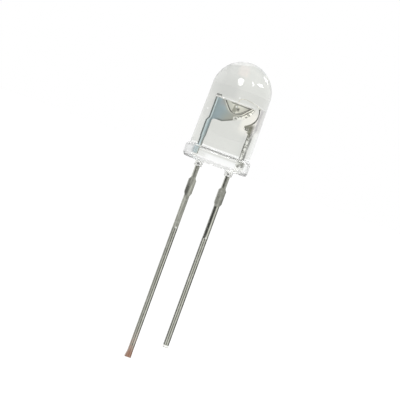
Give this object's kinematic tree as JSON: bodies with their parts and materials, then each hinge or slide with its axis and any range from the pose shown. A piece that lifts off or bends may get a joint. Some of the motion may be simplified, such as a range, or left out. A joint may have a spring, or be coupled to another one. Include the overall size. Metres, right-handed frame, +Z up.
{
  "type": "through-hole light-emitting diode",
  "caption": "Clear dome-lens light-emitting diode with a base flange and straight wire leads of unequal length; the stamped reflector cup, chip and bond wire show through the epoxy.",
  "frame": {"origin": "centre of the flange's underside, the plane of the circuit board that the part is seated on", "axes": "+Z up the lens axis towards the dome; the leads run down -Z and lie on X, the long lead at -X, the short lead and the flange's flat at +X; the front is -Y"},
  "size_m": [0.0052, 0.0054, 0.0252],
  "materials": {
    "clear_epoxy": "gloss",
    "tinned_steel": "satin",
    "silver_adhesive": "matte",
    "chip": "satin",
    "gold": "polished"
  },
  "bodies": {
    "root": {"epoxy_lens": "clear_epoxy", "anvil_lead": "tinned_steel", "post_lead": "tinned_steel", "die_attach": "silver_adhesive", "led_die": "chip", "bond_wire": "gold"}
  },
  "joints": []
}
